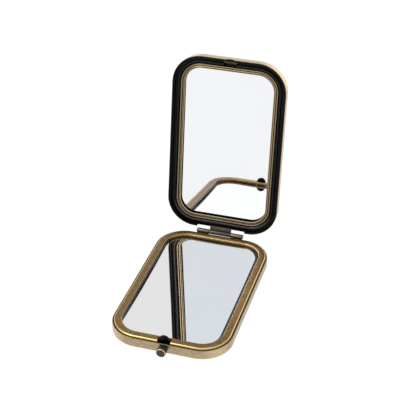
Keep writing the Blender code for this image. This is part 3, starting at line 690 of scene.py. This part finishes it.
def shell_section(low, high, rim_wear, rim_shade, grooved=False):
    """A tray's section from its inner floor, over its rim and down to its outer floor.

    Low and high are the heights of its outer floor and its rim, and may run downwards.
    """
    way = 1.0 if high > low else -1.0
    inner_round = max(FLOOR_ROUND - SHEET, SMALLEST_ROUND)
    # Painted shade: the inner floor and its round are darkened, as inside the tray.
    inside = plain([(SHEET + 2 * FLOOR_ROUND, low + way * SHEET)], shade_and_grime=0.6)
    inside += bend((SHEET + inner_round, low + way * (SHEET + inner_round)), inner_round,
                  -90 * way, -180 * way, shade_and_grime=0.6)
    # The rim's grime mark is painted shade, the dark line where the wall meets the ring inside it.
    rim = bend((SHEET / 2, high - way * SHEET / 2), SHEET / 2, 0, 180 * way, rim_wear, rim_shade)
    outside = plain([(0, high - way * (SHEET / 2 + RIM_ROUND))])
    outside += bend((FLOOR_ROUND, low + way * FLOOR_ROUND), FLOOR_ROUND, 180 * way, 270 * way,
                    wear_and_highlight=0.75)
    outside += plain([(2 * FLOOR_ROUND, low)])
    if grooved:
        outside += plain([(GROOVE_INSET - 2 * GROOVE_RADIUS, low)])
        # The groove is darkened towards its middle as painted shade.
        outside += [(GROOVE_INSET + GROOVE_RADIUS * cos(turn),
                     low + way * GROOVE_DEPTH * sin(turn), 0.0, 0.5 * sin(turn))
                    for turn in [pi * (1 - step / BEND_STEPS) for step in range(BEND_STEPS + 1)]]
        outside += plain([(GROOVE_INSET + 3 * GROOVE_RADIUS, low)])
    return inside + rim + outside


def make_shells():
    base = swept("base_shell", shell_section(0.0, SHELL_DEPTH, 0.3, 0.55), capped=True)
    age(base, worn_corners)
    half = HINGE_WIDTH / 2 + HINGE_NOTCH_SIDE
    cutters = [block((-half, REAR - WALL_INSIDE, BASE_NOTCH_BOTTOM),
                     (half, REAR + CUT, SHELL_DEPTH + CUT)),
               round_cutter(STEM_RADIUS + GAP, 0, FRONT, BUTTON_HEIGHT, CUT)]
    for x in BASE_RIVETS:
        cutters.append(round_cutter(RIVET_RADIUS + HEAD_GAP, x, REAR, BASE_RIVET_HEIGHT, CUT))
    dress(cut(base, cutters), "base_shell", "shell", "base")
    lid = swept("lid_shell", shell_section(LID_TOP, LID_RIM, 0.0, 1.0, grooved=True),
                capped=True)
    age(lid, brighter_lid_wall)
    cutters = [block((-half, REAR - WALL_INSIDE, LID_RIM - CUT),
                     (half, REAR + CUT, LID_RIM + LID_NOTCH_DEPTH))]
    half, depth = THUMB_NOTCH_WIDTH / 2, THUMB_NOTCH_DEPTH
    radius = (half ** 2 + depth ** 2) / (2 * depth)
    cutters.append(round_cutter(radius, 0, FRONT, LID_RIM + depth - radius, WALL_INSIDE))
    for x in LID_RIVETS:
        cutters.append(round_cutter(RIVET_RADIUS + HEAD_GAP, x, REAR, LID_RIVET_HEIGHT, CUT))
    dress(cut(lid, cutters), "lid_shell", "shell", "lid", turn_back=True)


# ---- rings round the mirrors

def base_bezel_section():
    outer, inner = WALL_INSIDE, BEZEL_INNER
    height = SHELL_DEPTH + BEZEL_RISE - BEZEL_SHOULDER
    foot = BASE_GLASS_TOP
    outer_bend = (outer + BEZEL_SHOULDER, height)
    inner_bend = (inner - BEZEL_SHOULDER, height)
    hidden = BEZEL_SHOULDER - BEZEL_SHEET
    # The outer shoulder and the top of the inner shoulder are drawn worn bright, partly as painted
    # highlight; the lower inner shoulder, the inner leg, the legs and the hidden underside are
    # darkened as painted shade.
    section = plain([(outer, SHELL_DEPTH - BEZEL_LEG)], shade_and_grime=1.0)
    section += bend(outer_bend, BEZEL_SHOULDER, 180, 90, wear_and_highlight=1.0)
    section += bend(inner_bend, BEZEL_SHOULDER, 90, BEZEL_WORN_AND_HIGHLIT_END, wear_and_highlight=0.62, steps=6)
    section += bend(inner_bend, BEZEL_SHOULDER, BEZEL_SHADED_START, 0, shade_and_grime=0.75, steps=5)
    section += plain([(inner, foot)], shade_and_grime=0.7)
    section += plain([(inner - BEZEL_SHEET, foot)], shade_and_grime=1.0)
    section += bend(inner_bend, hidden, 0, 90, shade_and_grime=1.0)
    section += bend(outer_bend, hidden, 90, 180, shade_and_grime=1.0)
    section += plain([(outer + BEZEL_SHEET, SHELL_DEPTH - BEZEL_LEG)], shade_and_grime=1.0)
    return section


def age(piece, rule):
    """Rewrites a piece's (wear with painted highlight, grime with painted shade) by where each corner
    is and what it had.
    """
    mesh = piece.data
    marks = mesh.uv_layers["marks"].data
    for loop in mesh.loops:
        marks[loop.index].uv = rule(mesh.vertices[loop.vertex_index].co, *marks[loop.index].uv)


def highlighted_ends(place, wear_and_highlight, shade_and_grime):
    """The bezel's short sides are painted brighter on their inner face as a painted highlight, and
    painted shade mostly stays below the rear one's bend.
    """
    share = min(max((abs(place.y) - ENDS_START) / ENDS_BLEND, 0.0), 1.0)
    share *= 1.0 if place.y > 0 else FRONT_HIGHLIGHT
    inner = abs(place.y) < REAR - BEZEL_INNER + BEZEL_SHOULDER + GAP
    visible = GAP + RIM_ROUND < place.z - BASE_GLASS_TOP < BEZEL_RISE + GLASS_DROP - BEZEL_CREST
    if not (inner and visible):
        return wear_and_highlight, shade_and_grime
    shade_lifted = share * REAR_SHADE_LIFT if place.y > 0 else share
    return wear_and_highlight + (ENDS_HIGHLIGHT - wear_and_highlight) * share, shade_and_grime * (1.0 - shade_lifted)


def brighter_lid_wall(place, wear_and_highlight, shade_and_grime):
    """The lid's wall is drawn brighter than the base's."""
    wall = shade_and_grime == 0 and place.z < LID_TOP - FLOOR_ROUND / 2
    return worn_corners(place, max(wear_and_highlight, LID_WALL_BRIGHTNESS) if wall else wear_and_highlight, shade_and_grime)


def worn_corners(place, wear_and_highlight, shade_and_grime):
    """Pockets rub the corners of the walls."""
    reach = [max(abs(at) - size / 2 + CORNER_RADIUS, 0.0) / CORNER_RADIUS
             for at, size in ((place.x, LEAF_WIDTH), (place.y, LEAF_LENGTH))]
    return min(wear_and_highlight + CORNER_WEAR * 2 * reach[0] * reach[1], 1.0), shade_and_grime


def highlit_hinge_end(place, wear_and_highlight, shade_and_grime):
    """The black moulding's ridge is painted lighter where it comes near the hinge, a painted
    highlight.
    """
    share = min(max((place.y - HINGE_END_START) / HINGE_END_BLEND, 0.0), 1.0)
    return wear_and_highlight + HINGE_END_HIGHLIGHT * share if wear_and_highlight > 0 else wear_and_highlight, shade_and_grime


def make_base_bezel():
    bezel = swept("base_bezel", base_bezel_section())
    age(bezel, highlighted_ends)
    cutters = [block((-CATCH_HALF - GAP, FRONT - CUT, 0),
                     (CATCH_HALF + GAP, FRONT + LUG_CLEAR + RUNNING_GAP, SHELL_DEPTH + CUT))]
    half = HINGE_WIDTH / 2 + HINGE_NOTCH_SIDE
    top = AXIS.z - KNUCKLE_RADIUS + LEAF_PLATE + GAP
    cutters.append(block((-half, REAR - WALL_INSIDE - LEAF_FLANGE - GAP, 0),
                         (half, REAR + CUT, top)))
    dress(cut(bezel, cutters), "base_bezel", "bezel", "base")


def lifted(section):
    """A lid section's depths below the lid's rim as heights, drawn closed."""
    return [(inset, LID_RIM + depth, wear_and_highlight, shade_and_grime) for inset, depth, wear_and_highlight, shade_and_grime in section]


def make_lid_bezel():
    sheet = CHANNEL_SHEET
    centre = (MOULDING_START + MOULDING_RADIUS, MOULDING_TOP + MOULDING_RADIUS)
    drop = MOULDING_START + 2 * MOULDING_RADIUS
    section = plain([(WALL_INSIDE, LID_LEG_TOP), (WALL_INSIDE + sheet, LID_LEG_TOP)])
    section += plain([(WALL_INSIDE + sheet, CHANNEL_FLOOR), (MOULDING_START, CHANNEL_FLOOR)])
    # The moulding's crest is drawn lighter as a painted highlight along its ridge.
    section += bend(centre, MOULDING_RADIUS, 180, 360, wear_and_highlight=0.32, steps=2 * BEND_STEPS)
    section += plain([(drop, FLANGE_DEPTH), (FLANGE_INSET, FLANGE_DEPTH)])
    section += plain([(FLANGE_INSET, FLANGE_DEPTH + sheet), (drop - sheet, FLANGE_DEPTH + sheet)])
    section += bend(centre, MOULDING_RADIUS - sheet, 360, 180)
    section += plain([(MOULDING_START + sheet, CHANNEL_FLOOR + sheet)])
    section += plain([(WALL_INSIDE, CHANNEL_FLOOR + sheet)])
    bezel = swept("lid_bezel", lifted(section))
    age(bezel, highlit_hinge_end)
    cutters = [block((-CATCH_HALF - GAP, FRONT - CUT, 0),
                     (CATCH_HALF + GAP, FRONT + LUG_CLEAR + GAP / 2, LID_TOP))]
    half = CENTRE_KNUCKLE / 2 + GAP
    cutters.append(block((-half, REAR - WALL_INSIDE - LEAF_FLANGE - GAP, 0),
                         (half, REAR + CUT, LID_TOP)))
    dress(cut(bezel, cutters), "lid_bezel", "black", "lid", turn_back=True)


def make_lid_frame():
    foot = FLANGE_DEPTH - GAP
    seat = LID_GLASS_DROP - GAP
    outer = (FRAME_INSET + FRAME_OUTER_BEAD, FRAME_OUTER_TOP + FRAME_OUTER_BEAD)
    groove = FRAME_INSET + 2 * FRAME_OUTER_BEAD + FRAME_GROOVE
    inner = (groove + FRAME_INNER_BEAD, FRAME_INNER_TOP + FRAME_INNER_BEAD)
    # The beads and the inner edge are drawn worn bright, partly as painted highlight; the foot, the
    # seat and the edge by the glass are darkened as painted shade.
    section = plain([(FRAME_INSET, foot)], shade_and_grime=1.0)
    section += bend(outer, FRAME_OUTER_BEAD, 180, 360, wear_and_highlight=0.55)
    section += bend(inner, FRAME_INNER_BEAD, 180, 290, wear_and_highlight=0.8)
    section += plain([(FRAME_EDGE_INSET, FRAME_EDGE_DEPTH)], wear_and_highlight=1.0)
    section += plain([(FRAME_EDGE_INSET, seat), (LID_GLASS_INSET - GAP, seat)], shade_and_grime=0.3)
    section += plain([(LID_GLASS_INSET - GAP, foot)], shade_and_grime=1.0)
    ring = swept("lid_mirror_frame", lifted(section))
    dress(ring, "lid_mirror_frame", "frame", "lid", turn_back=True)


# ---- mirrors

def glass(name, inset, back, silver, lean, curve, edge_band):
    """A slab whose silvered face lies at the given height, leaning and evenly curved.

    Edge band is how dark the band drawn along the silver's edge on the +X side is.
    """
    shape = bmesh.new()
    wear_and_light = shape.loops.layers.uv.new("marks")
    places, _ = stations()
    edge = inset + EDGE_BAND_WIDTH
    rings = [(inset, 1.0), (edge, 1.0)]
    rings += [(edge + RIM_ROUND, 1 - ring / GLASS_RINGS) for ring in range(GLASS_RINGS)]
    rows = []
    for ring_inset, share in rings:
        row = []
        for across, along, dx, dy in places:
            x = share * (across + (CORNER_RADIUS - ring_inset) * dx)
            y = share * (along + (CORNER_RADIUS - ring_inset) * dy)
            height = silver + lean[0] * x + lean[1] * y + curve * (x * x + y * y) / 2
            row.append(shape.verts.new((x, y, height)))
        rows.append(row)
    dark = set(rows[0] + rows[1])
    foot = [shape.verts.new((vert.co.x, vert.co.y, back)) for vert in rows[0]]
    centre = shape.verts.new((0, 0, silver))
    pairs = list(zip(range(len(foot)), list(range(1, len(foot))) + [0]))
    for outer, inner in zip([foot] + rows, rows):
        for here, after in pairs:
            shape.faces.new((outer[here], outer[after], inner[after], inner[here]))
    for here, after in pairs:
        shape.faces.new((rows[-1][here], rows[-1][after], centre))
    shape.faces.new(foot)
    for face in shape.faces:
        for loop in face.loops:
            # A dark band is drawn on the silver along the +X edge.
            side = min(max((loop.vert.co.x - EDGE_BAND_START) / EDGE_BAND_BLEND, 0.0), 1.0)
            loop[wear_and_light].uv = (0.0, edge_band * side if loop.vert in dark else 0.0)
    return new_object(name, shape)


def make_mirrors():
    back = BASE_GLASS_TOP - GLASS_THICKNESS
    slab = glass("base_mirror", GLASS_INSET, back, BASE_SILVER_HEIGHT, BASE_SILVER_LEAN,
                 1 / BASE_SILVER_RADIUS, 1.0)
    dress(slab, "base_mirror", "base_mirror", "base")
    back = LID_RIM + LID_GLASS_DROP + GLASS_THICKNESS
    silver = LID_RIM + LID_SILVER_DEPTH
    slab = glass("lid_mirror", LID_GLASS_INSET, back, silver, LID_SILVER_LEAN, 0.0, 0.0)
    dress(slab, "lid_mirror", "lid_mirror", "lid", turn_back=True)


# ---- hinge

def leaf_loops(side, flange_end):
    """The knuckle with its leaf, and its bore, as loops of (y, z)."""
    face = KNUCKLE_RADIUS - LEAF_PLATE
    outside = -HINGE_STANDOFF - WALL_INSIDE
    inside = outside - LEAF_FLANGE
    loop = [(outside, KNUCKLE_RADIUS), (outside, flange_end), (inside, flange_end), (inside, face)]
    start = pi - asin(face / KNUCKLE_RADIUS)
    for step in range(ROUND_STEPS + 1):
        turn = start + (2.5 * pi - start) * step / ROUND_STEPS
        loop.append((KNUCKLE_RADIUS * cos(turn), KNUCKLE_RADIUS * sin(turn)))
    return [(AXIS.y + y, AXIS.z + side * z) for y, z in loop]


def make_leaf(name, side, flange_end, half, rivets, rivet_height):
    stand = Matrix(((0, 0, 1), (1, 0, 0), (0, 1, 0))).to_4x4()
    leaf = prism(name, leaf_loops(side, flange_end), -half, half, stand)
    bore = circle(PIN_RADIUS + RUNNING_GAP, AXIS.y, AXIS.z)
    cutters = [prism("cutter", bore, -half - CUT, half + CUT, stand)]
    for x in rivets:
        flange = REAR - WALL_INSIDE
        cutters.append(round_cutter(RIVET_RADIUS + HEAD_GAP, x, flange, rivet_height, CUT))
    return cut(leaf, cutters)


def make_hinge():
    base = make_leaf("base_hinge_leaf", -1, AXIS.z - BASE_FLANGE_END, HINGE_WIDTH / 2,
                     BASE_RIVETS, BASE_RIVET_HEIGHT)
    half = CENTRE_KNUCKLE / 2 + KNUCKLE_GAP
    middle = block((-half, REAR - SHEET, 0), (half, AXIS.y + KNUCKLE_RADIUS + CUT, LID_TOP))
    base = soften(cut(base, [middle]), LEAF_EDGE, LEAF_EDGE_STEPS, LEAF_BEVEL_ANGLE)
    dress(base, "base_hinge_leaf", "hinge", "base")
    lid = make_leaf("lid_hinge_leaf", 1, LID_FLANGE_END - AXIS.z, CENTRE_KNUCKLE / 2,
                    LID_RIVETS, LID_RIVET_HEIGHT)
    lid = soften(lid, LEAF_EDGE, LEAF_EDGE_STEPS, LEAF_BEVEL_ANGLE)
    dress(lid, "lid_hinge_leaf", "knuckle", "lid", turn_back=True)
    make_pin()


def make_pin():
    shoulder = HINGE_WIDTH / 2 + HEAD_GAP
    turns = [pi / 2 * step / PIN_HEAD_STEPS for step in range(PIN_HEAD_STEPS + 1)]
    end = [(PIN_HEAD_RADIUS * sin(turn), shoulder + PIN_HEAD * cos(turn), 0.8 * sin(turn), 0.0)
           for turn in turns]
    # The shank inside the knuckles is darkened as painted shade.
    half_profile = end + [(PIN_RADIUS, shoulder, 0.0, 0.6)]
    profile = half_profile + [(radius, -height, wear_and_highlight, shade_and_grime)
                              for radius, height, wear_and_highlight, shade_and_grime in reversed(half_profile)]
    place = Matrix.Translation(AXIS) @ Matrix.Rotation(pi / 2, 4, "Y")
    pin = turned("hinge_pin", profile, place)
    dress(pin, "hinge_pin", "hinge", "base")


# ---- latch

def make_button():
    rear = BUTTON_REST_GAP
    face = rear + BUTTON_LENGTH
    edge = (BUTTON_RADIUS - BUTTON_EDGE, face - BUTTON_EDGE)
    shares = [step / BUTTON_DOME_STEPS for step in range(BUTTON_DOME_STEPS)]
    profile = [(edge[0] * share, face + BUTTON_DOME * (1 - share ** 2), 0.15, 0.0)
               for share in shares]
    # The face's rim and back edge are drawn worn bright, partly as a painted highlight, and the stem
    # and spigot behind the face are darkened as painted shade.
    profile += bend(edge, BUTTON_EDGE, 90, 0, wear_and_highlight=1.0)
    profile += bend((BUTTON_RADIUS - BUTTON_EDGE / 2, rear + BUTTON_EDGE / 2), BUTTON_EDGE / 2,
                    0, -90, wear_and_highlight=0.5, steps=4)
    inner = -LUG_INSET + GAP
    profile += plain([(STEM_RADIUS, rear), (STEM_RADIUS, inner), (SPIGOT_RADIUS, inner)],
                     shade_and_grime=0.7)
    profile += plain([(SPIGOT_RADIUS, -LUG_BACK + RUNNING_GAP), (0, -LUG_BACK + RUNNING_GAP)],
                     shade_and_grime=0.7)
    place = Matrix.Translation((0, FRONT, BUTTON_HEIGHT)) @ Matrix.Rotation(pi / 2, 4, "X")
    dress(turned("push_button", profile, place), "push_button", "button", "button")


def make_lug():
    half = LUG_WIDTH / 2
    centre = SHELL_DEPTH + LUG_TOP - half
    low = WALL_INSIDE
    loop = [(-half, low), (half, low)]
    steps = ROUND_STEPS // 2
    loop += [(half * cos(pi * k / steps), centre + half * sin(pi * k / steps))
             for k in range(steps + 1)]
    near, far = FRONT + LUG_INSET - LUG_NOSE, FRONT + LUG_BACK
    stand = Matrix.Rotation(pi / 2, 4, "X")
    lug = prism("latch_lug", loop, -far, -near, stand)
    soften(lug, LUG_EDGE, LUG_EDGE_STEPS, LUG_BEVEL_ANGLE)
    recess = block((-half - CUT, near - CUT, low - CUT),
                   (half + CUT, FRONT + LUG_INSET, SHELL_DEPTH + NOSE_HEIGHT))
    middle = (near + far) / 2
    hole = round_cutter(SPIGOT_RADIUS + GAP, 0, middle, BUTTON_HEIGHT, far - near)
    dress(cut(lug, [recess, hole]), "latch_lug", "black", "button")


def make_kept():
    """The CAD nodes whose shape is right keep it and take a finished material."""
    kept = {"base_backing_card": "card", "lid_backing_card": "card", "base_foam_pad": "foam",
            "latch_guide": "steel", "return_spring": "steel", "stem_retaining_clip": "steel",
            "lid_catch": "bronze"}
    for name in NODES:
        if "rivet" in name:
            kept[name] = "rivet"
    for name, material in kept.items():
        node = NODES[name]
        for slot in node.material_slots:
            slot.material = MATERIALS[material]


# ---- studio

def make_floor():
    """A pale light table, so bright that the object leaves no dark shadow on it."""
    shape = bmesh.new()
    bmesh.ops.create_grid(shape, x_segments=FLOOR_CELLS, y_segments=FLOOR_CELLS, size=FLOOR_HALF)
    floor = new_object("floor", shape)
    floor.location.z = CAD_BOX[0][2] - FLOOR_DROP
    nodes = new_nodes("pale_floor")
    cloud = nodes.noise(nodes.object(), 3.0)
    nodes.link(nodes.ramp(cloud, [(0.3, 0.05), (0.7, 0.06)]), nodes.shader.inputs["Base Color"])
    nodes.set(roughness=0.9)
    nodes.shader.inputs["Specular IOR Level"].default_value = 0.0
    nodes.shader.inputs["Emission Color"].default_value = (1.0, 1.0, 1.0, 1.0)
    nodes.shader.inputs["Emission Strength"].default_value = 1.0
    floor.data.materials.append(nodes.owner)


def make_world():
    """A soft studio dome: white near the horizon, dimmer above it, a little blue high in front."""
    world = bpy.data.worlds.new("studio")
    bpy.context.scene.world = world
    nodes = Nodes(world)
    place = nodes.add("ShaderNodeTexCoord")
    split = nodes.add("ShaderNodeSeparateXYZ")
    nodes.link(place.outputs["Generated"], split.inputs[0])
    behind = nodes.ramp(split.outputs["Z"], BEHIND_SKY)
    front = nodes.ramp(split.outputs["Z"], FRONT_SKY)
    facing = nodes.math("MULTIPLY_ADD", split.outputs["Y"], -SKY_TURN, 0.5)
    blend = nodes.ramp(facing, [(0.0, 0.0), (1.0, 1.0)])
    background = nodes.tree.nodes["Background"]
    background.inputs["Strength"].default_value = SKY_STRENGTH
    nodes.link(nodes.mix(blend, behind, front), background.inputs["Color"])


def make_key_light():
    light = bpy.data.lights.new("key", "AREA")
    light.shape = "RECTANGLE"
    light.size, light.size_y = KEY_SIZE
    light.energy = KEY_POWER
    light.color = KEY_COLOUR
    made = bpy.data.objects.new("key", light)
    bpy.context.scene.collection.objects.link(made)
    made.location = KEY_PLACE
    made.rotation_euler = (CAMERA_AIM - Vector(KEY_PLACE)).to_track_quat("-Z", "Y").to_euler()


def make_camera():
    """The photograph's viewpoint, panned in its own plane."""
    az, el, roll = CAMERA_AZIMUTH, CAMERA_ELEVATION, CAMERA_ROLL
    back = Vector((sin(az) * cos(el), -cos(az) * cos(el), sin(el)))
    level = Vector((cos(az), sin(az), 0.0))
    rise = back.cross(level)
    right = level * cos(roll) + rise * sin(roll)
    up = rise * cos(roll) - level * sin(roll)
    place = CAMERA_AIM + back * CAMERA_DISTANCE + right * CAMERA_PAN[0] + up * CAMERA_PAN[1]
    camera = bpy.data.objects.new("camera", bpy.data.cameras.new("camera"))
    camera.data.lens = CAMERA_LENS
    camera.data.sensor_width = CAMERA_SENSOR
    camera.data.clip_start = CAMERA_CLIP
    turn = Matrix((right, up, back)).transposed().to_4x4()
    camera.matrix_world = Matrix.Translation(place) @ turn
    bpy.context.scene.collection.objects.link(camera)
    bpy.context.scene.camera = camera


bpy.context.scene.view_settings.view_transform = "Standard"
make_camera()
make_floor()
make_world()
make_key_light()
make_shells()
make_base_bezel()
make_lid_bezel()
make_lid_frame()
make_mirrors()
make_hinge()
make_button()
make_lug()
make_kept()
